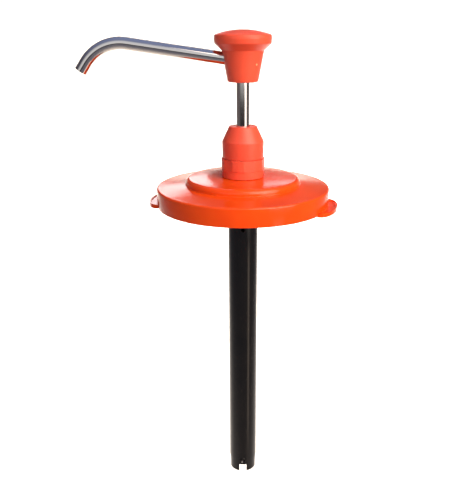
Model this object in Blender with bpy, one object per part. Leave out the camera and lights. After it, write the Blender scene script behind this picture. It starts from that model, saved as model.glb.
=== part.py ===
"""Lift-and-push dispenser pump on a push-on pail lid, built as separate bench-level parts.

Metres, +Z up. The origin is the centre of the flat band where the lid rests on the pail's rim.
The spout points along -X, and the pump's axis is Z.
"""

import math

import bmesh
import bpy
from mathutils import Matrix, Vector

# driving dimensions
GAP = 0.0003  # what touching parts keep between their meshes
ROD_RADIUS = 0.006  # 12 mm stainless tube
ROD_BORE = 0.0048
LID_RADIUS = 0.082
BARREL_RADIUS = 0.0144
BARREL_BORE = 0.012
FOOT_Z = -0.3173  # lower end of the barrel
FOOT_RADIUS = 0.0139  # the last stretch of the barrel is turned down a little
FOOT_SHOULDER_Z = -0.3025
SPOUT_RADIUS = 0.00575
SPOUT_BORE = 0.0047

# lid
LID_UNDERSIDE = 0.0  # flat band that rests on the pail's rim
LID_WALL = 0.0022
RIM_LAND_RADIUS = 0.0785  # where the lid's top begins to rise towards the middle
SKIRT_BOTTOM = -0.0156
SKIRT_INNER = LID_RADIUS - LID_WALL
RIM_FILLET = 0.002
SEAT_INNER = 0.0730  # inner edge of the flat band
BOSS_RADIUS = 0.0546  # raised round step in the lid's middle
BOSS_FOOT_Z = 0.0044
BOSS_EDGE_Z = 0.0105
BOSS_ROUNDING = 0.0045  # the step's edge is a full quarter round
HUB_RADIUS = 0.0215
HUB_TOP = 0.0112  # the clamp nut sits on it
HUB_WALL = 0.0025
HUB_UNDER_RADIUS = 0.0275
EAR_ANGLES = (math.radians(-15), math.radians(172))  # middles of the two ears, from +X
EAR_HALF_ANGLE = math.radians(19.5)
EAR_REACH = 0.0085
EAR_THICKNESS = 0.0039
EAR_BOTTOM = SKIRT_BOTTOM - 0.0008
EAR_FULLNESS = 2.6  # 2 is an ellipse, more is squarer

# barrel head, clamp nut and gland
STEM_RADIUS = 0.016
STEM_TOP = 0.0442
STEM_BORE = 0.0115
LID_HOLE = STEM_RADIUS + GAP
FLANGE_RADIUS = 0.026
FLANGE_THICKNESS = 0.004
HEAD_GASKET_THICKNESS = 0.0018
HEAD_GASKET_TOP = HUB_TOP - HUB_WALL - GAP
FLANGE_TOP = HEAD_GASKET_TOP - HEAD_GASKET_THICKNESS - GAP
SOCKET_RADIUS = 0.0178
SOCKET_BORE = BARREL_RADIUS + GAP
SOCKET_BOTTOM = -0.0354
BARREL_TOP = -0.0064
BUSH_SEAT_Z = 0.0056
BUSH_SEAT_BORE = 0.0075
STOP_BORE = 0.0118
STOP_FACE_Z = 0.0016
NUT_BOTTOM = HUB_TOP + GAP
NUT_BASE_RADIUS = 0.0197
NUT_BAND_RADIUS = 0.0204
NUT_BAND_BOTTOM = 0.0185
NUT_TOP = 0.0290
NUT_ACROSS_FLATS = 0.0395
NUT_FLAT_ANGLE = math.radians(-73)  # middle of the first of six wrench flats
CAP_BOTTOM = NUT_TOP + GAP
CAP_BOTTOM_RADIUS = 0.01935
CAP_RADIUS = 0.0195
CAP_SHOULDER_Z = 0.0447
CAP_TOP = 0.0585
CAP_TOP_RADIUS = 0.0129
CAP_ROD_HOLE = 0.0065
THREAD_BORE = STEM_RADIUS + GAP
SEAL_CHAMBER_RADIUS = 0.0135
SEAL_CHAMBER_BOTTOM = 0.0448
SEAL_CHAMBER_TOP = 0.0502
WIPER_GROOVE_RADIUS = 0.0088
WIPER_GROOVE = (0.0531, 0.0561)

# knob and spout
KNOB_BOTTOM = 0.0981
KNOB_BOTTOM_RADIUS = 0.0141
KNOB_NECK_Z = 0.1253
KNOB_NECK_RADIUS = 0.0190
KNOB_RIM_BOTTOM = 0.1316
KNOB_RIM_LOW_RADIUS = 0.0254
KNOB_RIM_Z = 0.1354
KNOB_RIM_RADIUS = 0.0259
KNOB_CROWN_EDGE_RADIUS = 0.0241
KNOB_CROWN_EDGE_Z = 0.1392
KNOB_CROWN = 0.1431
ROD_TOP = 0.1101
ROD_SOCKET = ROD_RADIUS + GAP
SPOUT_AXIS_Z = 0.1160  # where the spout's line meets the pump's axis
FLOW_CHAMBER = 0.0050
FLOW_CHAMBER_TOP = SPOUT_AXIS_Z + SPOUT_BORE
SPOUT_RISE = math.radians(8.24)
SPOUT_CORNER = 0.1276  # how far out the two straight legs would meet
SPOUT_DIP = math.radians(56)
SPOUT_BEND_RADIUS = 0.039
SPOUT_LAST_LEG = 0.0328  # from the corner to the outlet
SPOUT_START = 0.007
ORING_WIRE = 0.00085
ROD_ORING_Z = 0.1040
SPOUT_ORING_OUT = 0.0115
GROOVE_HALF_WIDTH = 0.0012

# piston, spring and foot valve
ROD_BOTTOM = -0.184
PISTON_TOP = -0.172
PISTON_NECK_RADIUS = 0.0086
PISTON_FLANGE_RADIUS = 0.0114
PISTON_FLANGE_TOP = -0.1895
PISTON_FLANGE_BOTTOM = -0.1950
PISTON_SPIGOT_RADIUS = 0.0076
PISTON_SPIGOT_BOTTOM = -0.2035
PISTON_CHAMBER = 0.0052
RETAINER_TOP = -0.2020
RETAINER_BOTTOM = -0.2090
RETAINER_RADIUS = 0.0112
RETAINER_INLET = 0.003
PISTON_BALL_RADIUS = 0.0045
BALL_LIFT = 0.003
STOP_PIN_RADIUS = 0.001
SPRING_SEAT_TOP = RETAINER_BOTTOM - GAP
SPRING_SEAT_THICKNESS = 0.0022
SPRING_WIRE = 0.0008
SPRING_MEAN_RADIUS = 0.0093
SPRING_TURNS = 9
SLOT_WIDTH = 0.0077
SLOT_TOP = -0.3088
LUG_RADIUS = 0.0036
LUG_Z = -0.3041
LUG_PROUD = 0.0004
VENT_RADIUS = 0.0015
VENT_Z = -0.0386
VALVE_RADIUS = BARREL_BORE - GAP
VALVE_BOTTOM = SLOT_TOP + GAP
VALVE_TOP = -0.2883
VALVE_CHAMBER = 0.0075
VALVE_INLET = 0.0036
VALVE_SEAT_Z = -0.2995
FOOT_BALL_RADIUS = 0.006
CAGE_CEILING = -0.2848
CAGE_TOP = -0.2828
CAGE_BAR_WIDTH = 0.003

ROUND = 48  # facets of a main turned part
FINE_ROUND = 72  # of the lid
SMALL_ROUND = 32  # of an inner part

SMOOTH_ANGLE = math.radians(35)


# materials
def make_material(name, colour, roughness, metallic=0.0):
    material = bpy.data.materials.new(name)
    material.use_nodes = True
    shader = material.node_tree.nodes["Principled BSDF"]
    shader.inputs["Base Color"].default_value = (*colour, 1.0)
    shader.inputs["Roughness"].default_value = roughness
    shader.inputs["Metallic"].default_value = metallic
    return material


# shape helpers
def arc(centre, radius, start_deg, end_deg, steps):
    """Points on an arc in the (radius, z) plane."""
    points = []
    for i in range(steps + 1):
        angle = math.radians(start_deg + (end_deg - start_deg) * i / steps)
        points.append((centre[0] + radius * math.cos(angle), centre[1] + radius * math.sin(angle)))
    return points


def finish_mesh(name, mesh_builder, material):
    bmesh.ops.remove_doubles(mesh_builder, verts=mesh_builder.verts, dist=1e-6)
    bmesh.ops.recalc_face_normals(mesh_builder, faces=mesh_builder.faces)
    mesh = bpy.data.meshes.new(name)
    mesh_builder.to_mesh(mesh)
    mesh_builder.free()
    mesh.shade_smooth()
    mesh.set_sharp_from_angle(angle=SMOOTH_ANGLE)
    obj = bpy.data.objects.new(name, mesh)
    bpy.context.scene.collection.objects.link(obj)
    if material is not None:
        mesh.materials.append(material)
    return obj


def turned(name, outline, material, steps=ROUND, closed=True):
    """A part of revolution about Z from its (radius, z) outline; an open outline ends on the axis."""
    builder = bmesh.new()
    verts = [builder.verts.new((r, 0.0, z)) for r, z in outline]
    edges = [builder.edges.new(pair) for pair in zip(verts, verts[1:])]
    if closed:
        edges.append(builder.edges.new((verts[-1], verts[0])))
    bmesh.ops.spin(
        builder,
        geom=verts + edges,
        cent=(0, 0, 0),
        axis=(0, 0, 1),
        angle=2 * math.pi,
        steps=steps,
        use_merge=True,
    )
    return finish_mesh(name, builder, material)


def ring(name, inner, outer, bottom, top, material, steps=SMALL_ROUND):
    outline = [(inner, bottom), (outer, bottom), (outer, top), (inner, top)]
    return turned(name, outline, material, steps)


def ball(name, radius, z, material):
    rows = 14
    outline = arc((0.0, z), radius, -90, 90, rows)
    outline[0] = (0.0, z - radius)
    outline[-1] = (0.0, z + radius)
    return turned(name, outline, material, 24, closed=False)


def torus(name, major, minor, material, place=Matrix.Identity(4)):
    outline = arc((major, 0.0), minor, 0, 330, 11)
    obj = turned(name, outline, material, SMALL_ROUND)
    obj.data.transform(place)
    return obj


def frame_along(direction, point):
    """A matrix whose Z runs along direction, at point."""
    rotation = Vector(direction).to_track_quat("Z", "Y").to_matrix().to_4x4()
    return Matrix.Translation(point) @ rotation


def swept_tube(name, path, outer, inner, material, steps=24):
    """A hollow tube along a path in the XZ plane, with square-cut ends."""
    builder = bmesh.new()
    rings = []
    for i, point in enumerate(path):
        before = path[max(i - 1, 0)]
        after = path[min(i + 1, len(path) - 1)]
        along = (after - before).normalized()
        side = Vector((0, 1, 0))
        up = along.cross(side)
        pair = []
        for radius in (outer, inner):
            loop = []
            for k in range(steps):
                angle = 2 * math.pi * k / steps
                offset = side * math.cos(angle) * radius + up * math.sin(angle) * radius
                loop.append(builder.verts.new(point + offset))
            pair.append(loop)
        rings.append(pair)
    for k in range(steps):
        n = (k + 1) % steps
        for (outer_a, inner_a), (outer_b, inner_b) in zip(rings, rings[1:]):
            builder.faces.new((outer_a[k], outer_a[n], outer_b[n], outer_b[k]))
            builder.faces.new((inner_a[n], inner_a[k], inner_b[k], inner_b[n]))
        for outer_end, inner_end in (rings[0], rings[-1]):
            builder.faces.new((outer_end[k], outer_end[n], inner_end[n], inner_end[k]))
    return finish_mesh(name, builder, material)


def cutter(obj):
    obj.hide_render = True
    obj.display_type = "WIRE"
    return obj


def cylinder_cutter(name, radius, length, direction, middle, steps=24):
    """A round cutter of that length, centred on middle, along direction."""
    half = length / 2
    outline = [(0.0, -half), (radius, -half), (radius, half), (0.0, half)]
    obj = turned(name, outline, None, steps, closed=False)
    obj.data.transform(frame_along(direction, middle))
    return cutter(obj)


def box_cutter(name, size, place):
    builder = bmesh.new()
    bmesh.ops.create_cube(builder, size=1.0, matrix=place @ Matrix.Diagonal((*size, 1.0)))
    return cutter(finish_mesh(name, builder, None))


def boolean(obj, other, operation="DIFFERENCE"):
    modifier = obj.modifiers.new(other.name, "BOOLEAN")
    modifier.operation = operation
    modifier.object = other


# lid
def lid_outline():
    """From the centre hole over the top and down the skirt, then back along the underside."""
    crown = (BOSS_RADIUS - BOSS_ROUNDING, BOSS_EDGE_Z - BOSS_ROUNDING)
    rim = (LID_RADIUS - RIM_FILLET, LID_WALL - RIM_FILLET)
    return [
        (LID_HOLE, HUB_TOP),
        (HUB_RADIUS, HUB_TOP),
        *arc(crown, BOSS_ROUNDING, 90, 0, 6),
        (BOSS_RADIUS, BOSS_FOOT_Z),
        (RIM_LAND_RADIUS, LID_WALL),
        *arc(rim, RIM_FILLET, 90, 0, 4),
        (LID_RADIUS - 0.0003, SKIRT_BOTTOM),
        (SKIRT_INNER + 0.0001, SKIRT_BOTTOM),
        (SKIRT_INNER, LID_UNDERSIDE),
        (SEAT_INNER, LID_UNDERSIDE),
        (BOSS_RADIUS - LID_WALL, BOSS_FOOT_Z - LID_WALL),
        *arc(crown, BOSS_ROUNDING - LID_WALL, 0, 90, 4),
        (HUB_UNDER_RADIUS, HUB_TOP - HUB_WALL),
        (LID_HOLE, HUB_TOP - HUB_WALL),
    ]


def ear(name, middle_angle):
    """A half-moon lifting ear, rooted in the skirt's wall, as a prism."""
    steps = 12
    root = LID_RADIUS - LID_WALL / 2
    outline = []
    for i in range(steps + 1):
        share = 2 * i / steps - 1
        swell = (1 - abs(share) ** EAR_FULLNESS) ** 0.5
        radius = LID_RADIUS + EAR_REACH * swell
        angle = middle_angle + EAR_HALF_ANGLE * share
        outline.append((radius * math.cos(angle), radius * math.sin(angle)))
    for i in range(steps + 1):
        angle = middle_angle + EAR_HALF_ANGLE * (1 - 2 * i / steps)
        outline.append((root * math.cos(angle), root * math.sin(angle)))
    builder = bmesh.new()
    verts = [builder.verts.new((x, y, EAR_BOTTOM)) for x, y in outline]
    grown = bmesh.ops.extrude_face_region(builder, geom=[builder.faces.new(verts)])
    for vert in [item for item in grown["geom"] if isinstance(item, bmesh.types.BMVert)]:
        vert.co.z += EAR_THICKNESS
    return cutter(finish_mesh(name, builder, None))


def make_lid(red):
    lid = turned("lid", lid_outline(), red, FINE_ROUND)
    for i, angle in enumerate(EAR_ANGLES):
        boolean(lid, ear(f"ear_shape_{i}", angle), "UNION")


# barrel head, clamp nut, gland cap and what they hold
def make_head(red, black, rubber, white, steel):
    turned(
        "barrel_head",
        [
            (SOCKET_BORE, SOCKET_BOTTOM),
            (SOCKET_RADIUS, SOCKET_BOTTOM),
            (SOCKET_RADIUS, FLANGE_TOP - FLANGE_THICKNESS),
            (FLANGE_RADIUS, FLANGE_TOP - FLANGE_THICKNESS),
            (FLANGE_RADIUS, FLANGE_TOP),
            (STEM_RADIUS, FLANGE_TOP),
            (STEM_RADIUS, STEM_TOP),
            (STEM_BORE, STEM_TOP),
            (STEM_BORE, BUSH_SEAT_Z),
            (BUSH_SEAT_BORE, BUSH_SEAT_Z),
            (BUSH_SEAT_BORE, STOP_FACE_Z),
            (STOP_BORE, STOP_FACE_Z),
            (STOP_BORE, BARREL_TOP + GAP),
            (SOCKET_BORE, BARREL_TOP + GAP),
        ],
        black,
    )
    ring(
        "head_gasket",
        LID_HOLE,
        FLANGE_RADIUS - 0.0005,
        HEAD_GASKET_TOP - HEAD_GASKET_THICKNESS,
        HEAD_GASKET_TOP,
        rubber,
        ROUND,
    )

    nut_chamfer = 0.0005
    nut = turned(
        "clamp_nut",
        [
            (THREAD_BORE, NUT_BOTTOM),
            (NUT_BASE_RADIUS, NUT_BOTTOM),
            (NUT_BASE_RADIUS, NUT_BAND_BOTTOM),
            (NUT_BAND_RADIUS, NUT_BAND_BOTTOM + nut_chamfer),
            (NUT_BAND_RADIUS, NUT_TOP - nut_chamfer),
            (NUT_BAND_RADIUS - nut_chamfer, NUT_TOP),
            (THREAD_BORE, NUT_TOP),
        ],
        red,
    )
    flat_depth = 0.01
    height = 0.014
    for i in range(6):
        angle = NUT_FLAT_ANGLE + i * math.pi / 3
        out = NUT_ACROSS_FLATS / 2 + flat_depth / 2
        middle_z = NUT_BAND_BOTTOM + 0.0001 + height / 2
        place = Matrix.Rotation(angle, 4, "Z") @ Matrix.Translation((out, 0, middle_z))
        boolean(nut, box_cutter(f"flat_cut_{i}", (flat_depth, 0.02, height), place))

    turned(
        "gland_cap",
        [
            (THREAD_BORE, CAP_BOTTOM),
            (CAP_BOTTOM_RADIUS - 0.0003, CAP_BOTTOM),
            (CAP_BOTTOM_RADIUS, CAP_BOTTOM + 0.0003),
            (CAP_RADIUS, CAP_SHOULDER_Z),
            (CAP_TOP_RADIUS, CAP_TOP - 0.0004),
            (CAP_TOP_RADIUS - 0.0005, CAP_TOP),
            (CAP_ROD_HOLE, CAP_TOP),
            (CAP_ROD_HOLE, WIPER_GROOVE[1]),
            (WIPER_GROOVE_RADIUS, WIPER_GROOVE[1]),
            (WIPER_GROOVE_RADIUS, WIPER_GROOVE[0]),
            (CAP_ROD_HOLE, WIPER_GROOVE[0]),
            (CAP_ROD_HOLE, SEAL_CHAMBER_TOP),
            (SEAL_CHAMBER_RADIUS, SEAL_CHAMBER_TOP),
            (SEAL_CHAMBER_RADIUS, SEAL_CHAMBER_BOTTOM),
            (THREAD_BORE, SEAL_CHAMBER_BOTTOM),
        ],
        red,
    )
    ring("rod_bush", ROD_RADIUS + 0.0002, STEM_BORE - GAP, BUSH_SEAT_Z + GAP, STEM_TOP - GAP, white)
    washer_top = STEM_TOP + GAP + 0.0012
    ring("seal_washer", CAP_ROD_HOLE, SEAL_CHAMBER_RADIUS - GAP, STEM_TOP + GAP, washer_top, steel)
    seal_bottom = washer_top + GAP
    seal_top = SEAL_CHAMBER_TOP - GAP
    turned(
        "rod_seal",
        [
            (ROD_RADIUS + 0.0002, seal_bottom),
            (SEAL_CHAMBER_RADIUS - GAP, seal_bottom),
            (SEAL_CHAMBER_RADIUS - GAP, seal_top),
            (0.0098, seal_top),
            (0.0090, seal_top - 0.0020),
            (0.0078, seal_top),
            (ROD_RADIUS + 0.0002, seal_top),
        ],
        rubber,
        SMALL_ROUND,
    )
    ring(
        "wiper_ring",
        ROD_RADIUS + 0.0002,
        WIPER_GROOVE_RADIUS - GAP,
        WIPER_GROOVE[0] + GAP,
        WIPER_GROOVE[1] - GAP,
        rubber,
    )
    buffer_top = STOP_FACE_Z - GAP
    buffer_bottom = buffer_top - 0.0016
    ring("stop_buffer", ROD_RADIUS + 0.0006, STOP_BORE - 0.0006, buffer_bottom, buffer_top, rubber)
    return buffer_bottom - GAP


# piston rod, stop clip, knob and spout
def spout_path():
    """Centre line: a rising leg, one bend and a dipping leg, as points in the XZ plane."""
    rise = Vector((-math.cos(SPOUT_RISE), 0, math.sin(SPOUT_RISE)))
    dip = Vector((-math.cos(SPOUT_DIP), 0, -math.sin(SPOUT_DIP)))
    root = Vector((0, 0, SPOUT_AXIS_Z))
    corner = root + rise * (SPOUT_CORNER / math.cos(SPOUT_RISE))
    bend = SPOUT_RISE + SPOUT_DIP
    tangent = SPOUT_BEND_RADIUS * math.tan(bend / 2)
    below = Vector((-math.sin(SPOUT_RISE), 0, -math.cos(SPOUT_RISE)))
    centre = corner - rise * tangent + below * SPOUT_BEND_RADIUS
    path = [root + rise * SPOUT_START]
    steps = 9
    for i in range(steps + 1):
        heading = math.pi / 2 - SPOUT_RISE + bend * i / steps
        path.append(centre + Vector((math.cos(heading), 0, math.sin(heading))) * SPOUT_BEND_RADIUS)
    path.append(corner + dip * SPOUT_LAST_LEG)
    return path, root, rise


def make_plunger(red, rubber, steel, clip_top):
    ring("piston_rod", ROD_BORE, ROD_RADIUS, ROD_BOTTOM, ROD_TOP, steel)

    clip = ring("stop_clip", ROD_RADIUS + 0.00015, 0.0096, clip_top - 0.0012, clip_top, steel)
    mouth = Matrix.Translation((0.008, 0, clip_top))
    boolean(clip, box_cutter("clip_mouth_cut", (0.010, 0.0064, 0.004), mouth))

    sag = KNOB_CROWN - KNOB_CROWN_EDGE_Z
    sphere = (KNOB_CROWN_EDGE_RADIUS**2 + sag**2) / (2 * sag)
    half_angle = math.degrees(math.asin(KNOB_CROWN_EDGE_RADIUS / sphere))
    crown = arc((0.0, KNOB_CROWN - sphere), sphere, 90 - half_angle, 90, 6)
    crown[-1] = (0.0, KNOB_CROWN)
    groove_radius = ROD_SOCKET + 0.0017
    knob = turned(
        "push_knob",
        [
            (0.0, FLOW_CHAMBER_TOP),
            (FLOW_CHAMBER, FLOW_CHAMBER_TOP),
            (FLOW_CHAMBER, ROD_TOP + GAP),
            (ROD_SOCKET, ROD_TOP + GAP),
            (ROD_SOCKET, ROD_ORING_Z + GROOVE_HALF_WIDTH),
            (groove_radius, ROD_ORING_Z + GROOVE_HALF_WIDTH),
            (groove_radius, ROD_ORING_Z - GROOVE_HALF_WIDTH),
            (ROD_SOCKET, ROD_ORING_Z - GROOVE_HALF_WIDTH),
            (ROD_SOCKET, KNOB_BOTTOM),
            (KNOB_BOTTOM_RADIUS - 0.0014, KNOB_BOTTOM),
            (KNOB_BOTTOM_RADIUS - 0.0004, KNOB_BOTTOM + 0.0005),
            (KNOB_BOTTOM_RADIUS, KNOB_BOTTOM + 0.0015),
            (KNOB_NECK_RADIUS, KNOB_NECK_Z - 0.0006),
            (KNOB_NECK_RADIUS + 0.0005, KNOB_NECK_Z + 0.0008),
            (KNOB_RIM_LOW_RADIUS - 0.0008, KNOB_RIM_BOTTOM - 0.0006),
            (KNOB_RIM_LOW_RADIUS, KNOB_RIM_BOTTOM),
            (KNOB_RIM_RADIUS, KNOB_RIM_Z),
            (KNOB_RIM_RADIUS - 0.0002, KNOB_RIM_Z + 0.0021),
            (KNOB_RIM_RADIUS - 0.0007, KNOB_RIM_Z + 0.0030),
            *crown,
        ],
        red,
        closed=False,
    )
    path, root, rise = spout_path()
    socket_reach = 0.030
    start = SPOUT_START - 0.0005
    socket = cylinder_cutter(
        "spout_socket_cut",
        SPOUT_RADIUS + GAP,
        socket_reach - start,
        rise,
        root + rise * (start + socket_reach) / 2,
    )
    passage = cylinder_cutter(
        "spout_passage_cut", SPOUT_BORE, SPOUT_START + 0.001, rise, root + rise * (SPOUT_START + 0.001) / 2
    )
    groove = cylinder_cutter(
        "spout_groove_cut",
        SPOUT_RADIUS + 0.0020,
        2 * GROOVE_HALF_WIDTH,
        rise,
        root + rise * SPOUT_ORING_OUT,
        32,
    )
    for shape in (socket, passage, groove):
        boolean(knob, shape)

    swept_tube("spout", path, SPOUT_RADIUS, SPOUT_BORE, steel)
    torus(
        "rod_oring",
        ROD_RADIUS + ORING_WIRE + 0.0002,
        ORING_WIRE,
        rubber,
        Matrix.Translation((0, 0, ROD_ORING_Z)),
    )
    torus(
        "spout_oring",
        SPOUT_RADIUS + ORING_WIRE + 0.0002,
        ORING_WIRE,
        rubber,
        frame_along(rise, root + rise * SPOUT_ORING_OUT),
    )


# barrel, piston, spring and foot valve
def seat_ball_z(seat_z, inlet, radius):
    """Height of a ball's centre on a 45 degree seat that starts at the inlet, a gap clear of it."""
    contact = radius / math.sqrt(2)
    return seat_z + (contact - inlet) + contact + GAP * math.sqrt(2)


def make_barrel(black):
    barrel = turned(
        "barrel",
        [
            (BARREL_BORE, FOOT_Z),
            (FOOT_RADIUS, FOOT_Z),
            (FOOT_RADIUS, FOOT_SHOULDER_Z),
            (BARREL_RADIUS, FOOT_SHOULDER_Z),
            (BARREL_RADIUS, BARREL_TOP),
            (BARREL_BORE, BARREL_TOP),
        ],
        black,
    )
    slot_height = 2 * (SLOT_TOP - FOOT_Z)
    slot_middle = Matrix.Translation((0, 0, SLOT_TOP - slot_height / 2))
    for i in range(2):
        place = Matrix.Rotation(i * math.pi / 2, 4, "Z") @ slot_middle
        boolean(barrel, box_cutter(f"foot_slot_cut_{i}", (SLOT_WIDTH, 0.04, slot_height), place))
    across = (0, 1, 0)
    boolean(barrel, cylinder_cutter("lug_hole_cut", LUG_RADIUS + GAP, 0.04, across, (0, 0, LUG_Z)))
    boolean(barrel, cylinder_cutter("vent_hole_cut", VENT_RADIUS, 0.04, across, (0, 0, VENT_Z), 16))
    return barrel


def make_foot_valve(black, steel):
    seat_top = VALVE_SEAT_Z + (VALVE_CHAMBER - VALVE_INLET)
    valve = turned(
        "foot_valve_body",
        [
            (VALVE_INLET, VALVE_BOTTOM),
            (VALVE_RADIUS, VALVE_BOTTOM),
            (VALVE_RADIUS, VALVE_TOP),
            (VALVE_CHAMBER, VALVE_TOP),
            (VALVE_CHAMBER, seat_top),
            (VALVE_INLET, VALVE_SEAT_Z),
        ],
        black,
    )
    lug_inside = VALVE_RADIUS - 0.002
    lug_outside = FOOT_RADIUS + LUG_PROUD
    for side in (-1, 1):
        dome = arc((0.0, lug_outside - 0.0045), 0.0045, 51, 90, 4)
        dome[-1] = (0.0, lug_outside)
        outline = [(0.0, lug_inside), (LUG_RADIUS, lug_inside), (LUG_RADIUS, dome[0][1] - 0.0006), *dome[1:]]
        lug = turned(f"lug_shape_{side + 1}", outline, None, 20, closed=False)
        lug.data.transform(frame_along((0, side, 0), (0, 0, LUG_Z)))
        boolean(valve, cutter(lug), "UNION")

    ball("foot_ball", FOOT_BALL_RADIUS, seat_ball_z(VALVE_SEAT_Z, VALVE_INLET, FOOT_BALL_RADIUS), steel)

    cage = ring("foot_ball_cage", VALVE_CHAMBER + 0.0001, VALVE_RADIUS, VALVE_TOP + GAP, CAGE_TOP, black)
    bar_height = CAGE_TOP - CAGE_CEILING
    bar_middle = Matrix.Translation((0, 0, CAGE_TOP - bar_height / 2))
    for i in range(2):
        place = Matrix.Rotation(i * math.pi / 2, 4, "Z") @ bar_middle
        size = (2 * VALVE_CHAMBER + 0.004, CAGE_BAR_WIDTH, bar_height - i * 0.0002)
        boolean(cage, box_cutter(f"cage_bar_{i}", size, place), "UNION")


def make_piston(white, rubber, steel):
    body = turned(
        "piston_body",
        [
            (ROD_RADIUS + GAP, PISTON_TOP),
            (ROD_RADIUS + GAP, ROD_BOTTOM - GAP),
            (PISTON_CHAMBER, ROD_BOTTOM - GAP),
            (PISTON_CHAMBER, PISTON_SPIGOT_BOTTOM),
            (PISTON_SPIGOT_RADIUS, PISTON_SPIGOT_BOTTOM),
            (PISTON_SPIGOT_RADIUS, PISTON_FLANGE_BOTTOM),
            (PISTON_FLANGE_RADIUS, PISTON_FLANGE_BOTTOM),
            (PISTON_FLANGE_RADIUS, PISTON_FLANGE_TOP),
            (PISTON_NECK_RADIUS, PISTON_FLANGE_TOP + 0.0015),
            (PISTON_NECK_RADIUS, PISTON_TOP),
        ],
        white,
        SMALL_ROUND,
    )
    seat_z = PISTON_SPIGOT_BOTTOM - GAP - (PISTON_CHAMBER - RETAINER_INLET)
    turned(
        "piston_retainer",
        [
            (RETAINER_INLET, RETAINER_BOTTOM),
            (RETAINER_RADIUS, RETAINER_BOTTOM),
            (RETAINER_RADIUS, RETAINER_TOP),
            (PISTON_SPIGOT_RADIUS + GAP, RETAINER_TOP),
            (PISTON_SPIGOT_RADIUS + GAP, PISTON_SPIGOT_BOTTOM - GAP),
            (PISTON_CHAMBER, PISTON_SPIGOT_BOTTOM - GAP),
            (RETAINER_INLET, seat_z),
        ],
        white,
        SMALL_ROUND,
    )
    ball_z = seat_ball_z(seat_z, RETAINER_INLET, PISTON_BALL_RADIUS)
    ball("piston_ball", PISTON_BALL_RADIUS, ball_z, steel)

    pin_z = ball_z + PISTON_BALL_RADIUS + BALL_LIFT + GAP + STOP_PIN_RADIUS
    pin_half = PISTON_FLANGE_RADIUS - 0.0004
    pin = turned(
        "ball_stop_pin",
        [(0.0, -pin_half), (STOP_PIN_RADIUS, -pin_half), (STOP_PIN_RADIUS, pin_half), (0.0, pin_half)],
        steel,
        16,
        closed=False,
    )
    pin.data.transform(frame_along((1, 0, 0), (0, 0, pin_z)))
    hole = STOP_PIN_RADIUS + 0.0002
    boolean(body, cylinder_cutter("pin_hole_cut", hole, 0.03, (1, 0, 0), (0, 0, pin_z), 16))

    seal_top = PISTON_FLANGE_BOTTOM - GAP
    seal_bottom = RETAINER_TOP + GAP
    lip = BARREL_BORE - 0.00015
    turned(
        "piston_seal",
        [
            (PISTON_SPIGOT_RADIUS + GAP, seal_bottom),
            (0.0092, seal_bottom),
            (0.0098, seal_bottom + 0.0030),
            (0.0106, seal_bottom),
            (lip, seal_bottom + 0.0004),
            (lip, seal_bottom + 0.0022),
            (lip - 0.0004, seal_top),
            (PISTON_SPIGOT_RADIUS + GAP, seal_top),
        ],
        rubber,
        ROUND,
    )
    seat_bottom = SPRING_SEAT_TOP - SPRING_SEAT_THICKNESS
    ring("spring_seat", RETAINER_INLET + 0.001, BARREL_BORE - 0.0008, seat_bottom, SPRING_SEAT_TOP, white)
    return seat_bottom


def make_spring(bottom, top, steel):
    """A helix with one closed turn at each end, so that it stands square."""
    low = bottom + SPRING_WIRE
    high = top - SPRING_WIRE
    per_turn = 14
    count = SPRING_TURNS * per_turn
    closed_rise = 2.3 * SPRING_WIRE
    open_turns = SPRING_TURNS - 2
    curve = bpy.data.curves.new("return_spring", "CURVE")
    curve.dimensions = "3D"
    curve.bevel_depth = SPRING_WIRE
    curve.bevel_resolution = 1
    curve.use_fill_caps = True
    spline = curve.splines.new("POLY")
    spline.points.add(count)
    open_rise = (high - low - 2 * closed_rise) / open_turns
    for i in range(count + 1):
        turn = i / per_turn
        z = low + closed_rise * min(turn, 1)
        z += open_rise * min(max(turn - 1, 0), open_turns)
        z += closed_rise * max(turn - SPRING_TURNS + 1, 0)
        angle = 2 * math.pi * turn
        x = SPRING_MEAN_RADIUS * math.cos(angle)
        y = SPRING_MEAN_RADIUS * math.sin(angle)
        spline.points[i].co = (x, y, z, 1)
    curve.materials.append(steel)
    bpy.context.scene.collection.objects.link(bpy.data.objects.new("return_spring", curve))


def main():
    for obj in list(bpy.data.objects):
        bpy.data.objects.remove(obj)

    red = make_material("red_polypropylene", (0.78, 0.045, 0.018), 0.33)
    black = make_material("black_pvc", (0.012, 0.011, 0.010), 0.28)
    steel = make_material("stainless_steel", (0.60, 0.58, 0.56), 0.16, 1.0)
    rubber = make_material("nitrile_rubber", (0.02, 0.02, 0.02), 0.7)
    white = make_material("white_acetal", (0.80, 0.79, 0.75), 0.4)

    make_lid(red)
    clip_top = make_head(red, black, rubber, white, steel)
    make_plunger(red, rubber, steel, clip_top)
    make_barrel(black)
    make_foot_valve(black, steel)
    spring_top = make_piston(white, rubber, steel)
    make_spring(CAGE_TOP + GAP, spring_top - GAP, steel)


main()
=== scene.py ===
import math

import bmesh
import bpy
from mathutils import Matrix, Vector


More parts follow.
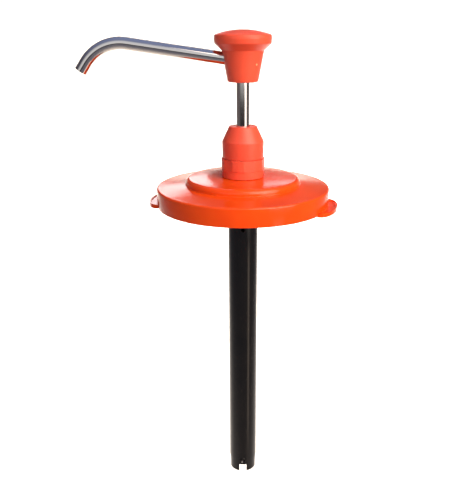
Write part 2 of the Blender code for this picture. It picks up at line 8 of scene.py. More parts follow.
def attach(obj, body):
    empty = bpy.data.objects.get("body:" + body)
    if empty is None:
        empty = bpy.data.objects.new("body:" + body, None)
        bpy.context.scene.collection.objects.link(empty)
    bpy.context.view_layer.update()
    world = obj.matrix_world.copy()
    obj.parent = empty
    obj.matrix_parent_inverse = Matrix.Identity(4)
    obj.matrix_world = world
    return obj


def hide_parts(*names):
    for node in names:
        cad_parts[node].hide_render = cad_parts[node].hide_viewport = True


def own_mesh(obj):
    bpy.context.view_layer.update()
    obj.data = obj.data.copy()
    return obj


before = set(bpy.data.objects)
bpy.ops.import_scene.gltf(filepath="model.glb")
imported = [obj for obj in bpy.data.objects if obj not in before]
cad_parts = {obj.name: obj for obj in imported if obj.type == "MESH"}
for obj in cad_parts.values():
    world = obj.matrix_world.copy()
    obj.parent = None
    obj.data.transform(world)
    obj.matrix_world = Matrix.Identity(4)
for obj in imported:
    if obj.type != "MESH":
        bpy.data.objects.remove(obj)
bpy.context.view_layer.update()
print("frame loaded")

# Lengths are in metres, in the part's own frame: Z is the pump's axis, z 0 is the seat on the pail's rim.
mm = 0.001
roundSteps = 192


# colour and node helpers
def toLinear(hexColour):
    channels = [int(hexColour[i:i + 2], 16) / 255 for i in (1, 3, 5)]
    linear = [c / 12.92 if c <= 0.04045 else ((c + 0.055) / 1.055) ** 2.4 for c in channels]
    return (*linear, 1.0)


def addNode(tree, kind, inputs=None, **settings):
    node = tree.nodes.new(kind)
    for key, value in settings.items():
        setattr(node, key, value)
    for key, value in (inputs or {}).items():
        if isinstance(value, bpy.types.NodeSocket):
            tree.links.new(value, node.inputs[key])
        else:
            node.inputs[key].default_value = value
    return node


def newMaterial(name):
    material = bpy.data.materials.new(name)
    material.use_nodes = True
    tree = material.node_tree
    shader = tree.nodes["Principled BSDF"]
    coords = addNode(tree, "ShaderNodeTexCoord").outputs["Object"]
    return material, tree, shader, coords


def noise(tree, coords, perMetre, stretch=(1, 1, 1), detail=3.0, roughness=0.5):
    moved = addNode(tree, "ShaderNodeVectorMath", {0: coords, 1: stretch}, operation="MULTIPLY")
    inputs = {"Vector": moved.outputs[0], "Scale": perMetre, "Detail": detail, "Roughness": roughness}
    return addNode(tree, "ShaderNodeTexNoise", inputs).outputs["Fac"]


def mapped(tree, value, low, high, fromLow=0.3, fromHigh=0.7):
    inputs = {"Value": value, "From Min": fromLow, "From Max": fromHigh, "To Min": low, "To Max": high}
    return addNode(tree, "ShaderNodeMapRange", inputs).outputs["Result"]


def bumped(tree, height, distance, strength=1.0, normal=None):
    inputs = {"Height": height, "Distance": distance, "Strength": strength}
    if normal is not None:
        inputs["Normal"] = normal
    return addNode(tree, "ShaderNodeBump", inputs).outputs["Normal"]


def mixedColour(tree, factor, first, second):
    node = addNode(tree, "ShaderNodeMix", data_type="RGBA")
    for index, value in ((0, factor), (6, first), (7, second)):
        if isinstance(value, bpy.types.NodeSocket):
            tree.links.new(value, node.inputs[index])
        else:
            node.inputs[index].default_value = value
    return node.outputs[2]


# injection-moulded polypropylene with a fine spark-eroded skin and faint flow marks
def redPolypropylene(name, tints, rough, turned=False):
    material, tree, shader, coords = newMaterial(name)
    cloud = noise(tree, coords, 22, detail=2)
    tint = mixedColour(tree, mapped(tree, cloud, 0, 1), toLinear(tints[0]), toLinear(tints[1]))
    skin = noise(tree, coords, 2600, detail=2)
    wave = noise(tree, coords, 55, detail=1)
    scuff = noise(tree, coords, 420, stretch=(1, 0.12, 1), detail=4, roughness=0.7)
    rough = mapped(tree, scuff, *rough, 0.35, 0.75)
    normal = bumped(tree, wave, 0.00035, 0.5)
    normal = bumped(tree, skin, 0.000012, 0.6, normal)
    if turned:
        rings = noise(tree, coords, 1, stretch=(6, 6, 3200), detail=2)
        normal = bumped(tree, rings, 0.00002, 0.7, normal)
    tree.links.new(tint, shader.inputs["Base Color"])
    tree.links.new(rough, shader.inputs["Roughness"])
    tree.links.new(normal, shader.inputs["Normal"])
    shader.inputs["IOR"].default_value = 1.49
    shader.inputs["Specular IOR Level"].default_value = 0.32
    shader.inputs["Subsurface Weight"].default_value = 0.12
    shader.inputs["Subsurface Radius"].default_value = (1.0, 0.25, 0.1)
    shader.inputs["Subsurface Scale"].default_value = 0.0015
    return material


# extruded rigid PVC pipe, with die lines along it
def extrudedPvc(name="extrudedPvc"):
    material, tree, shader, coords = newMaterial(name)
    cloud = noise(tree, coords, 30, detail=3)
    tint = mixedColour(tree, mapped(tree, cloud, 0, 1), toLinear("#0A0806"), toLinear("#100D09"))
    lines = noise(tree, coords, 900, stretch=(1, 1, 0.012), detail=3, roughness=0.6)
    scuff = noise(tree, coords, 160, stretch=(1, 1, 0.3), detail=5, roughness=0.65)
    wave = noise(tree, coords, 40, stretch=(1, 1, 0.25), detail=1)
    normal = bumped(tree, wave, 0.0003, 0.25)
    normal = bumped(tree, lines, 0.00001, 0.5, normal)
    tree.links.new(tint, shader.inputs["Base Color"])
    tree.links.new(mapped(tree, scuff, 0.13, 0.22), shader.inputs["Roughness"])
    tree.links.new(normal, shader.inputs["Normal"])
    shader.inputs["IOR"].default_value = 1.53
    shader.inputs["Specular IOR Level"].default_value = 0.42
    return material


# drawn stainless tube, mirror polished, with faint wheel marks
def polishedStainless(name="polishedStainless", stretch=(1, 1, 0.02)):
    material, tree, shader, coords = newMaterial(name)
    lines = noise(tree, coords, 2200, stretch=stretch, detail=2)
    smear = noise(tree, coords, 70, detail=4)
    tree.links.new(mapped(tree, smear, 0.05, 0.1), shader.inputs["Roughness"])
    tree.links.new(bumped(tree, lines, 0.000003, 0.5), shader.inputs["Normal"])
    shader.inputs["Base Color"].default_value = toLinear("#CFCBC6")
    shader.inputs["Metallic"].default_value = 1.0
    return material


# moulded nitrile rubber, matt with a dusty bloom
def mouldedNitrile():
    material, tree, shader, coords = newMaterial("mouldedNitrile")
    bloom = noise(tree, coords, 300, detail=4)
    tint = mixedColour(tree, mapped(tree, bloom, 0, 1, 0.4, 0.8), toLinear("#18181A"), toLinear("#2A2A2B"))
    tree.links.new(tint, shader.inputs["Base Color"])
    tree.links.new(bumped(tree, bloom, 0.00001), shader.inputs["Normal"])
    shader.inputs["Roughness"].default_value = 0.72
    shader.inputs["IOR"].default_value = 1.52
    return material


# acetal turned from white rod, with fine lathe rings
def turnedAcetal():
    material, tree, shader, coords = newMaterial("turnedAcetal")
    rings = noise(tree, coords, 1, stretch=(6, 6, 5000), detail=2)
    tree.links.new(bumped(tree, rings, 0.00001), shader.inputs["Normal"])
    shader.inputs["Base Color"].default_value = toLinear("#ECEAE2")
    shader.inputs["Roughness"].default_value = 0.38
    shader.inputs["IOR"].default_value = 1.48
    return material


redMoulded = redPolypropylene("mouldedPolypropylene", ("#DE4208", "#E44A0C"), (0.12, 0.18))
redMatt = redPolypropylene("mattMouldedPolypropylene", ("#DE4E34", "#E4563B"), (0.34, 0.43))
redTurned = redPolypropylene("turnedPolypropylene", ("#DE4C34", "#E3533A"), (0.32, 0.40), turned=True)
# pale orange finish for the small raised dot on the knob's skirt
paleDotFinish = redPolypropylene("paleDotPolypropylene", ("#F0A268", "#F4B27C"), (0.34, 0.43))
black = extrudedPvc()
steel = polishedStainless()
spoutSteel = polishedStainless("polishedStainlessSpout", (0.02, 1, 1))
rubber = mouldedNitrile()
acetal = turnedAcetal()
print("materials made")


# mesh helpers
def finishMesh(builder, name, material, body, sharpDegrees=32):
    bmesh.ops.remove_doubles(builder, verts=builder.verts, dist=1e-7)
    bmesh.ops.recalc_face_normals(builder, faces=builder.faces)
    mesh = bpy.data.meshes.new(name)
    builder.to_mesh(mesh)
    builder.free()
    return placeMesh(mesh, name, material, body, sharpDegrees)


def placeMesh(mesh, name, material, body, sharpDegrees=32):
    mesh.name = name
    mesh.materials.clear()
    mesh.materials.append(material)
    mesh.shade_smooth()
    mesh.set_sharp_from_angle(angle=math.radians(sharpDegrees))
    obj = bpy.data.objects.new(name, mesh)
    bpy.context.scene.collection.objects.link(obj)
    if body is not None:
        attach(obj, body)
    return obj


def baked(obj):
    bpy.context.view_layer.update()
    graph = bpy.context.evaluated_depsgraph_get()
    mesh = bpy.data.meshes.new_from_object(obj.evaluated_get(graph))
    bpy.data.objects.remove(obj)
    return mesh


# a closed (radius, z) outline whose corners are rounded where a third number gives a fillet
def rounded(corners, steps=8, closed=True):
    points = []
    count = len(corners)
    for i, corner in enumerate(corners):
        here = Vector(corner[:2])
        fillet = corner[2] if len(corner) > 2 else 0
        if not fillet or (not closed and i in (0, count - 1)):
            points.append(here)
            continue
        before = (Vector(corners[i - 1][:2]) - here).normalized()
        after = (Vector(corners[(i + 1) % count][:2]) - here).normalized()
        half = before.angle(after) / 2
        reach = fillet / math.tan(half)
        centre = here + (before + after).normalized() * fillet / math.sin(half)
        start = here + before * reach - centre
        sweep = start.angle_signed(here + after * reach - centre)
        for k in range(steps + 1):
            turn = -sweep * k / steps
            c, s = math.cos(turn), math.sin(turn)
            points.append(centre + Vector((start.x * c - start.y * s, start.x * s + start.y * c)))
    return points


def lathed(name, corners, material, body, closed=True, steps=roundSteps, limit=None, angles=None, sharp=32):
    outline = rounded(corners, closed=closed)
    angles = angles or [2 * math.pi * i / steps for i in range(steps)]
    builder = bmesh.new()
    columns = []
    for angle in angles:
        column = []
        for r, z in outline:
            r = min(r, limit(angle, z)) if limit else r
            column.append(builder.verts.new((r * math.cos(angle), r * math.sin(angle), z)))
        columns.append(column)
    rows = len(outline)
    for i, column in enumerate(columns):
        following = columns[(i + 1) % len(columns)]
        for k in range(rows if closed else rows - 1):
            m = (k + 1) % rows
            patch = (column[k], following[k], following[m], column[m])
            if outline[k][0] < 1e-7:
                patch = (column[k], following[m], column[m])
            elif outline[m][0] < 1e-7:
                patch = (column[k], following[k], column[m])
            builder.faces.new(patch)
    return finishMesh(builder, name, material, body, sharp)


def cylinderMesh(radius, length, direction, middle, steps=64):
    builder = bmesh.new()
    place = Matrix.Translation(middle) @ Vector(direction).to_track_quat("Z", "Y").to_matrix().to_4x4()
    bmesh.ops.create_cone(builder, cap_ends=True, segments=steps, radius1=radius, radius2=radius,
                          depth=length, matrix=place)
    return builder


def cutBy(obj, builder):
    mesh = bpy.data.meshes.new("cutter")
    bmesh.ops.recalc_face_normals(builder, faces=builder.faces)
    builder.to_mesh(mesh)
    builder.free()
    cutter = bpy.data.objects.new("cutter", mesh)
    bpy.context.scene.collection.objects.link(cutter)
    modifier = obj.modifiers.new("cut", "BOOLEAN")
    modifier.operation = "DIFFERENCE"
    modifier.object = cutter
    return cutter


def carved(obj, builders, body, sharp=32):
    name, material = obj.name, obj.data.materials[0]
    cutters = [cutBy(obj, builder) for builder in builders]
    mesh = baked(obj)
    for cutter in cutters:
        bpy.data.objects.remove(cutter)
    return placeMesh(mesh, name, material, body, sharp)


# geometry node helpers
def newGeometryTree(name, sockets):
    tree = bpy.data.node_groups.new(name, "GeometryNodeTree")
    tree.interface.new_socket("Geometry", in_out="OUTPUT", socket_type="NodeSocketGeometry")
    tree.interface.new_socket("Geometry", in_out="INPUT", socket_type="NodeSocketGeometry")
    for label, kind in sockets.items():
        tree.interface.new_socket(label, in_out="INPUT", socket_type=kind)
    return tree, addNode(tree, "NodeGroupInput").outputs


def endTree(tree, geometry, material):
    real = addNode(tree, "GeometryNodeRealizeInstances", {0: geometry}).outputs[0]
    painted = addNode(tree, "GeometryNodeSetMaterial", {"Geometry": real, "Material": material})
    output = addNode(tree, "NodeGroupOutput")
    tree.links.new(painted.outputs[0], output.inputs[0])


def grown(name, mesh, tree, values, material, body, sharpDegrees=32):
    obj = bpy.data.objects.new(name, mesh)
    bpy.context.scene.collection.objects.link(obj)
    modifier = obj.modifiers.new(tree.name, "NODES")
    modifier.node_group = tree
    for item in tree.interface.items_tree:
        if item.name in values:
            modifier[item.identifier] = values[item.name]
    grownMesh = baked(obj)
    builder = bmesh.new()
    builder.from_mesh(grownMesh)
    return finishMesh(builder, name, material, body, sharpDegrees)


# lid
lid = {
    "radius": 82 * mm, "wall": 2.2 * mm, "skirtBottom": -15.6 * mm,
    "earAngle": math.radians(-15), "earApart": math.radians(187), "earHalf": math.radians(19.5),
    "earReach": 8.45 * mm, "earBottom": -16.4 * mm, "earThick": 3.8 * mm, "earRoot": 80.9 * mm,
    "earFullness": 2.6, "earLip": 1.5 * mm, "earSlope": 0.5 * mm, "earRecess": 1.0 * mm, "earPanel": 0.86,
}
lidCorners = [
    (16.3 * mm, 11.2 * mm, 0.3 * mm), (54.6 * mm, 10.5 * mm, 4.5 * mm), (54.6 * mm, 4.4 * mm, 0.5 * mm),
    (78.5 * mm, 2.2 * mm, 6 * mm), (82 * mm, 2.0 * mm, 1.7 * mm),
    (81.7 * mm, -15.6 * mm, 0.5 * mm), (79.9 * mm, -15.6 * mm, 0.4 * mm), (79.8 * mm, 0, 0.6 * mm),
    (73 * mm, 0, 2 * mm), (52.4 * mm, 2.2 * mm, 1 * mm), (52.4 * mm, 8.3 * mm, 2.3 * mm),
    (27.5 * mm, 8.7 * mm, 2 * mm), (16.3 * mm, 8.7 * mm, 0.3 * mm),
]
lidPiece = lathed("lidShell", lidCorners, redMoulded, "pump_body", steps=288)
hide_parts("lid")


def earMesh():
    outer, inner = [], []
    steps = 40
    for i in range(steps + 1):
        share = 2 * i / steps - 1
        angle = lid["earHalf"] * share
        radius = lid["radius"] + lid["earReach"] * max(1 - abs(share) ** lid["earFullness"], 0) ** 0.5
        outer.append((radius * math.cos(angle), radius * math.sin(angle)))
        inner.append((lid["earRoot"] * math.cos(angle), lid["earRoot"] * math.sin(angle)))
    builder = bmesh.new()
    outer, inner = [[builder.verts.new((x, y, lid["earBottom"])) for x, y in line] for line in (outer, inner)]
    strip = [builder.faces.new((outer[i], outer[i + 1], inner[i + 1], inner[i])) for i in range(steps)]
    grownFaces = bmesh.ops.extrude_face_region(builder, geom=strip)["geom"]
    for vert in [item for item in grownFaces if isinstance(item, bmesh.types.BMVert)]:
        vert.co.z += lid["earThick"]
    panel = []
    for face in [item for item in grownFaces if isinstance(item, bmesh.types.BMFace)]:
        middle = face.calc_center_median()
        if abs(math.atan2(middle.y, middle.x)) < lid["earPanel"] * lid["earHalf"]:
            panel.append(face)
    bmesh.ops.inset_region(builder, faces=panel, thickness=lid["earLip"], depth=0)
    bmesh.ops.inset_region(builder, faces=panel, thickness=lid["earSlope"], depth=-lid["earRecess"])
    sharpEdges = [e for e in builder.edges if len(e.link_faces) == 2 and e.calc_face_angle() > 0.6]
    bmesh.ops.bevel(builder, geom=sharpEdges, offset=0.3 * mm, segments=3, affect="EDGES", clamp_overlap=True)
    mesh = bpy.data.meshes.new("ear")
    bmesh.ops.recalc_face_normals(builder, faces=builder.faces)
    builder.to_mesh(mesh)
    builder.free()
    return mesh


earTree, earIn = newGeometryTree("earsRoundTheSkirt", {
    "Count": "NodeSocketInt", "First angle": "NodeSocketFloat", "Apart": "NodeSocketFloat"})
earPoints = addNode(earTree, "GeometryNodePoints", {"Count": earIn["Count"]}).outputs[0]
earIndex = addNode(earTree, "GeometryNodeInputIndex").outputs[0]
earTurn = addNode(earTree, "ShaderNodeMath", {0: earIndex, 1: earIn["Apart"], 2: earIn["First angle"]},
                  operation="MULTIPLY_ADD").outputs[0]
earSpin = addNode(earTree, "ShaderNodeCombineXYZ", {"Z": earTurn}).outputs[0]
earSet = addNode(earTree, "GeometryNodeInstanceOnPoints",
                 {"Points": earPoints, "Instance": earIn["Geometry"], "Rotation": earSpin}).outputs[0]
endTree(earTree, earSet, redMoulded)
grown("lidEars", earMesh(), earTree, {"Count": 2, "First angle": lid["earAngle"], "Apart": lid["earApart"]},
      redMoulded, "pump_body")
print("lid made")

# clamp nut and gland cap
nut = {
    "flats": 6, "half": 19.75 * mm, "firstFlat": math.radians(-73),
    "bandBottom": 18.5 * mm, "band": 20.4 * mm,
}
nutCorners = [
    (16.3 * mm, 11.5 * mm, 0.2 * mm), (19.7 * mm, 11.5 * mm, 0.3 * mm), (19.7 * mm, 18.5 * mm, 0.1 * mm),
    (20.4 * mm, 18.9 * mm, 0.25 * mm), (20.4 * mm, 29.0 * mm, 0.45 * mm), (16.3 * mm, 29.0 * mm, 0.2 * mm),
]


def nutLimit(angle, z):
    if z < nut["bandBottom"] + 0.2 * mm:
        return 1
    sector = 2 * math.pi / nut["flats"]
    away = (angle - nut["firstFlat"] + sector / 2) % sector - sector / 2
    return nut["half"] / math.cos(away)


def nutAngles():
    sector = 2 * math.pi / nut["flats"]
    edge = math.acos(nut["half"] / nut["band"])
    angles = []
    for i in range(nut["flats"]):
        middle = nut["firstFlat"] + i * sector
        angles += [middle - edge + 2 * edge * k / 16 for k in range(16)]
        angles += [middle + edge + (sector - 2 * edge) * k / 16 for k in range(16)]
    return angles


nutPiece = lathed("clampNut", nutCorners, redTurned, "pump_body", limit=nutLimit, angles=nutAngles(),
                  sharp=12)
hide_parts("clamp_nut")
capCorners = [
    (16.3 * mm, 29.3 * mm, 0.2 * mm), (19.35 * mm, 29.3 * mm, 0.3 * mm), (19.5 * mm, 44.7 * mm, 0.5 * mm),
    (12.9 * mm, 58.5 * mm, 0.8 * mm), (6.5 * mm, 58.5 * mm, 0.4 * mm), (6.5 * mm, 56.1 * mm, 0.05 * mm),
    (8.8 * mm, 56.1 * mm), (8.8 * mm, 53.1 * mm), (6.5 * mm, 53.1 * mm), (6.5 * mm, 50.2 * mm),
    (13.5 * mm, 50.2 * mm), (13.5 * mm, 44.8 * mm), (16.3 * mm, 44.8 * mm),
]
capPiece = lathed("glandCap", capCorners, redTurned, "pump_body")
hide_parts("gland_cap")
print("nut and gland made")

# push knob, with the spout's socket in its side
spout = {
    "rise": math.radians(8.24), "dip": math.radians(56), "bend": 39 * mm, "axisZ": 116 * mm,
    "corner": 127.6 * mm, "lastLeg": 32.8 * mm, "start": 7 * mm, "outer": 5.75 * mm, "inner": 4.7 * mm,
}
riseWay = Vector((-math.cos(spout["rise"]), 0, math.sin(spout["rise"])))
dipWay = Vector((-math.cos(spout["dip"]), 0, -math.sin(spout["dip"])))
spoutRoot = Vector((0, 0, spout["axisZ"]))
crown = {"edge": 24.1, "rise": 3.9, "outer": 23.4, "top": 143.1}  # in millimetres
sphere = (crown["edge"] ** 2 + crown["rise"] ** 2) / (2 * crown["rise"])
crownCorners = []
for i in range(17):
    r = crown["outer"] * (1 - i / 16)
    crownCorners.append((r * mm, (crown["top"] - sphere + math.sqrt(sphere ** 2 - r ** 2)) * mm))
knobCorners = [
    (0, 120.7 * mm), (5 * mm, 120.7 * mm), (5 * mm, 110.4 * mm), (6.3 * mm, 110.4 * mm),
    (6.3 * mm, 105.2 * mm), (8.0 * mm, 105.2 * mm), (8.0 * mm, 102.8 * mm), (6.3 * mm, 102.8 * mm),
    (6.3 * mm, 98.1 * mm, 0.5 * mm), (13.9 * mm, 98.1 * mm, 1.4 * mm), (19.0 * mm, 125.3 * mm, 1.0 * mm),
    (25.4 * mm, 131.2 * mm, 1.2 * mm), (25.95 * mm, 135.3 * mm, 2.5 * mm), (25.6 * mm, 138.6 * mm, 1.5 * mm),
    *crownCorners,
]
knob = lathed("pushKnob", knobCorners, redMatt, None, closed=False)
socket = cylinderMesh(spout["outer"] + 0.2 * mm, 23.5 * mm, riseWay, spoutRoot + riseWay * 18.25 * mm, 96)
passage = cylinderMesh(spout["inner"], 8 * mm, riseWay, spoutRoot + riseWay * 4 * mm, 64)
knob = carved(knob, [socket, passage], "head")
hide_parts("push_knob")

# a small raised dot on the knob's skirt, coloured pale orange
paleDot = {"angle": math.radians(-44), "z": 113.7 * mm, "out": 16.75 * mm, "radius": 0.9 * mm}
paleDotBuilder = bmesh.new()
paleDotSpot = Vector((paleDot["out"] * math.cos(paleDot["angle"]), paleDot["out"] * math.sin(paleDot["angle"]), paleDot["z"]))
paleDotTurn = Matrix.Rotation(paleDot["angle"], 4, "Z") @ Matrix.Diagonal((0.45, 1, 1, 1))
bmesh.ops.create_uvsphere(paleDotBuilder, u_segments=32, v_segments=16, radius=paleDot["radius"],
                          matrix=Matrix.Translation(paleDotSpot) @ paleDotTurn)
finishMesh(paleDotBuilder, "knobPaleDot", paleDotFinish, "head")
print("knob made")


# spout, swept along two straight legs and one bend
def spoutLine():
    corner = spoutRoot + riseWay * spout["corner"] / math.cos(spout["rise"])
    turn = spout["rise"] + spout["dip"]
    tangent = spout["bend"] * math.tan(turn / 2)
    below = Vector((-math.sin(spout["rise"]), 0, -math.cos(spout["rise"])))
    centre = corner - riseWay * tangent + below * spout["bend"]
    points = [spoutRoot + riseWay * (spout["start"] + 12 * mm * i) for i in range(8)]
    for i in range(41):
        heading = math.pi / 2 - spout["rise"] + turn * i / 40
        points.append(centre + Vector((math.cos(heading), 0, math.sin(heading))) * spout["bend"])
    points.append(corner + dipWay * spout["lastLeg"])
    return points


line = bpy.data.meshes.new("spoutLine")
linePoints = spoutLine()
line.from_pydata(linePoints, [(i, i + 1) for i in range(len(linePoints) - 1)], [])
tubeSockets = {"Outer radius": "NodeSocketFloat", "Wall": "NodeSocketFloat"}
tubeTree, tubeIn = newGeometryTree("tubeAlongLine", tubeSockets)
tubeCurve = addNode(tubeTree, "GeometryNodeMeshToCurve", {"Mesh": tubeIn["Geometry"]}).outputs[0]
skins = []
innerRadius = addNode(tubeTree, "ShaderNodeMath", {0: tubeIn["Outer radius"], 1: tubeIn["Wall"]},
                      operation="SUBTRACT").outputs[0]
for radius in (tubeIn["Outer radius"], innerRadius):
    ring = {"Resolution": 96, "Radius": radius}
    circle = addNode(tubeTree, "GeometryNodeCurvePrimitiveCircle", ring).outputs[0]
    swept = {"Curve": tubeCurve, "Profile Curve": circle}
    skins.append(addNode(tubeTree, "GeometryNodeCurveToMesh", swept).outputs[0])
joined = addNode(tubeTree, "GeometryNodeJoinGeometry", {0: skins[0]})
tubeTree.links.new(skins[1], joined.inputs[0])
endTree(tubeTree, joined.outputs[0], spoutSteel)


# joins the tube's two skins with a ring of faces at each end and takes the edge off it
def closeTubeEnds(obj):
    builder = bmesh.new()
    builder.from_mesh(obj.data)
    openEdges = [e for e in builder.edges if e.is_boundary]
    bridge = []
    for end in (linePoints[0], linePoints[-1]):
        near = [e for e in openEdges if (e.verts[0].co - end).length < 8 * mm]
        bridge += bmesh.ops.bridge_loops(builder, edges=near)["faces"]
    rims = {e for f in bridge for e in f.edges if len(e.link_faces) == 2 and e.calc_face_angle() > 1}
    bmesh.ops.bevel(builder, geom=list(rims), offset=0.18 * mm, segments=3, affect="EDGES")
    bmesh.ops.recalc_face_normals(builder, faces=builder.faces)
    builder.to_mesh(obj.data)
    builder.free()
    obj.data.shade_smooth()
    obj.data.set_sharp_from_angle(angle=math.radians(32))


tubeValues = {"Outer radius": spout["outer"], "Wall": spout["outer"] - spout["inner"]}
tube = grown("spoutTube", line, tubeTree, tubeValues, spoutSteel, "head")
closeTubeEnds(tube)
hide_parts("spout")
print("spout made")

# piston rod
rodCorners = [
    (4.8 * mm, -184 * mm), (6 * mm, -184 * mm, 0.3 * mm), (6 * mm, 110.1 * mm, 0.4 * mm),
    (4.8 * mm, 110.1 * mm),
]
rod = lathed("pistonRod", rodCorners, steel, "head", steps=128)
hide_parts("piston_rod")

# barrel head, the black socket and flange under the lid
headCorners = [
    (14.7 * mm, -35.4 * mm, 0.3 * mm), (17.8 * mm, -35.4 * mm, 0.5 * mm), (17.8 * mm, 2.0 * mm, 1 * mm),
    (26 * mm, 2.0 * mm, 0.6 * mm), (26 * mm, 6.0 * mm, 0.4 * mm), (16 * mm, 6.0 * mm),
    (16 * mm, 44.2 * mm, 0.4 * mm),
    (11.5 * mm, 44.2 * mm), (11.5 * mm, 5.6 * mm), (7.5 * mm, 5.6 * mm), (7.5 * mm, 1.6 * mm),
    (11.8 * mm, 1.6 * mm), (11.8 * mm, -6.1 * mm), (14.7 * mm, -6.1 * mm),
]
headPiece = lathed("barrelHead", headCorners, black, "pump_body")
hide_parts("barrel_head")

# barrel, with slots, lug holes and vents cut through it
barrel = {
    "foot": -317.3 * mm, "slotTop": -308.8 * mm, "slot": 7.7 * mm, "lugZ": -304.1 * mm, "lugHole": 3.9 * mm,
    "ventZ": -38.6 * mm, "vent": 1.5 * mm, "sinkOut": 14.25 * mm, "sinkInner": 1.3 * mm,
    "sinkOuter": 2.5 * mm, "sinkDeep": 1.2 * mm, "through": 0.04,
}
barrelCorners = [
    (12 * mm, -317.3 * mm, 0.3 * mm), (13.9 * mm, -317.3 * mm, 0.4 * mm), (13.9 * mm, -302.5 * mm, 0.1 * mm),
    (14.4 * mm, -302.5 * mm, 0.15 * mm), (14.4 * mm, -6.4 * mm, 0.3 * mm), (12 * mm, -6.4 * mm, 0.3 * mm),
]
barrelPiece = lathed("barrelTube", barrelCorners, black, None)
cuts = []
for i in range(2):
    slotBuilder = bmesh.new()
    height = 2 * (barrel["slotTop"] - barrel["foot"])
    place = Matrix.Rotation(i * math.pi / 2, 4, "Z")
    place = place @ Matrix.Translation((0, 0, barrel["slotTop"] - height / 2))
    place = place @ Matrix.Diagonal((barrel["slot"], barrel["through"], height, 1))
    bmesh.ops.create_cube(slotBuilder, size=1, matrix=place)
    cuts.append(slotBuilder)
cuts.append(cylinderMesh(barrel["lugHole"], barrel["through"], (0, 1, 0), (0, 0, barrel["lugZ"])))
cuts.append(cylinderMesh(barrel["vent"], barrel["through"], (0, 1, 0), (0, 0, barrel["ventZ"]), 40))
for side in (-1, 1):
    countersink = bmesh.new()
    outward = Vector((0, side, 0)).to_track_quat("Z", "Y").to_matrix().to_4x4()
    place = Matrix.Translation((0, side * barrel["sinkOut"], barrel["ventZ"])) @ outward
    bmesh.ops.create_cone(countersink, cap_ends=True, segments=40, radius1=barrel["sinkInner"],
                          radius2=barrel["sinkOuter"], depth=barrel["sinkDeep"], matrix=place)
    cuts.append(countersink)
barrelPiece = carved(barrelPiece, cuts, "pump_body")
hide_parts("barrel")
print("barrel made")

# foot valve body with its two snap lugs
valveCorners = [
    (3.6 * mm, -308.5 * mm, 0.4 * mm), (11.7 * mm, -308.5 * mm, 0.4 * mm), (11.7 * mm, -288.3 * mm, 0.3 * mm),
    (7.5 * mm, -288.3 * mm), (7.5 * mm, -295.6 * mm), (3.6 * mm, -299.5 * mm),
]
valve = lathed("footValveBody", valveCorners, black, "pump_body", steps=128)
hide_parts("foot_valve_body")
lugCorners = [
    (0, 9.7 * mm), (3.6 * mm, 9.7 * mm), (3.6 * mm, 13.7 * mm, 0.3 * mm), (3.2 * mm, 14.2 * mm, 0.2 * mm),
    (2.4 * mm, 14.3 * mm, 0.2 * mm), (1.1 * mm, 12.9 * mm, 0.3 * mm), (0, 12.8 * mm),
]
for side in (-1, 1):
    lugName = "snapLugFront" if side < 0 else "snapLugBack"
    lug = lathed(lugName, lugCorners, black, None, closed=False, steps=64)
    outward = Vector((0, side, 0)).to_track_quat("Z", "Y").to_matrix().to_4x4()
    lug.data.transform(Matrix.Translation((0, 0, barrel["lugZ"])) @ outward)
    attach(lug, "pump_body")

# return spring, a helix with a closed turn at each end
spring = {
    "turns": 9, "low": -282.5 * mm, "high": -211.8 * mm, "wire": 0.8 * mm, "mean": 9.3 * mm,
    "stroke": 38 * mm,
}
springTree, springIn = newGeometryTree("closedEndHelix", {
    "Turns": "NodeSocketFloat", "Radius": "NodeSocketFloat", "Wire radius": "NodeSocketFloat",
    "Low": "NodeSocketFloat", "Open rise": "NodeSocketFloat", "Closed rise": "NodeSocketFloat"})
helix = addNode(springTree, "GeometryNodeCurveSpiral", {
    "Resolution": 48, "Rotations": springIn["Turns"], "Start Radius": springIn["Radius"],
    "End Radius": springIn["Radius"], "Height": 0.0}).outputs[0]


def springMath(operation, first, second, third=0.0):
    inputs = {0: first, 1: second}
    if operation == "MULTIPLY_ADD":
        inputs[2] = third
    return addNode(springTree, "ShaderNodeMath", inputs, operation=operation).outputs[0]


along = addNode(springTree, "GeometryNodeSplineParameter").outputs["Factor"]
turnNow = springMath("MULTIPLY", along, springIn["Turns"])
lowTurn = springMath("MINIMUM", turnNow, 1.0)
lastTurn = springMath("SUBTRACT", springIn["Turns"], 1.0)
highTurn = springMath("MAXIMUM", springMath("SUBTRACT", turnNow, lastTurn), 0.0)
openTurn = springMath("SUBTRACT", springMath("SUBTRACT", turnNow, lowTurn), highTurn)
endTurns = springMath("ADD", lowTurn, highTurn)
endRise = springMath("MULTIPLY_ADD", endTurns, springIn["Closed rise"], springIn["Low"])
springZ = springMath("MULTIPLY_ADD", openTurn, springIn["Open rise"], endRise)
lift = addNode(springTree, "ShaderNodeCombineXYZ", {"Z": springZ}).outputs[0]
raised = addNode(springTree, "GeometryNodeSetPosition", {"Geometry": helix, "Offset": lift}).outputs[0]
wireRing = {"Resolution": 16, "Radius": springIn["Wire radius"]}
wire = addNode(springTree, "GeometryNodeCurvePrimitiveCircle", wireRing).outputs[0]
coilParts = {"Curve": raised, "Profile Curve": wire, "Fill Caps": True}
coil = addNode(springTree, "GeometryNodeCurveToMesh", coilParts).outputs[0]
endTree(springTree, coil, steel)
closedRise = 2.3 * spring["wire"]
openRise = (spring["high"] - spring["low"] - 2 * spring["wire"] - 2 * closedRise) / (spring["turns"] - 2)
springValues = {
    "Turns": float(spring["turns"]), "Radius": spring["mean"], "Wire radius": spring["wire"],
    "Low": spring["low"] + spring["wire"], "Open rise": openRise, "Closed rise": closedRise,
}
springSeed = bpy.data.meshes.new("springSeed")
springPiece = grown("returnSpring", springSeed, springTree, springValues, steel, "pump_body")
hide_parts("return_spring")
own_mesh(springPiece)
print("foot valve and spring made")

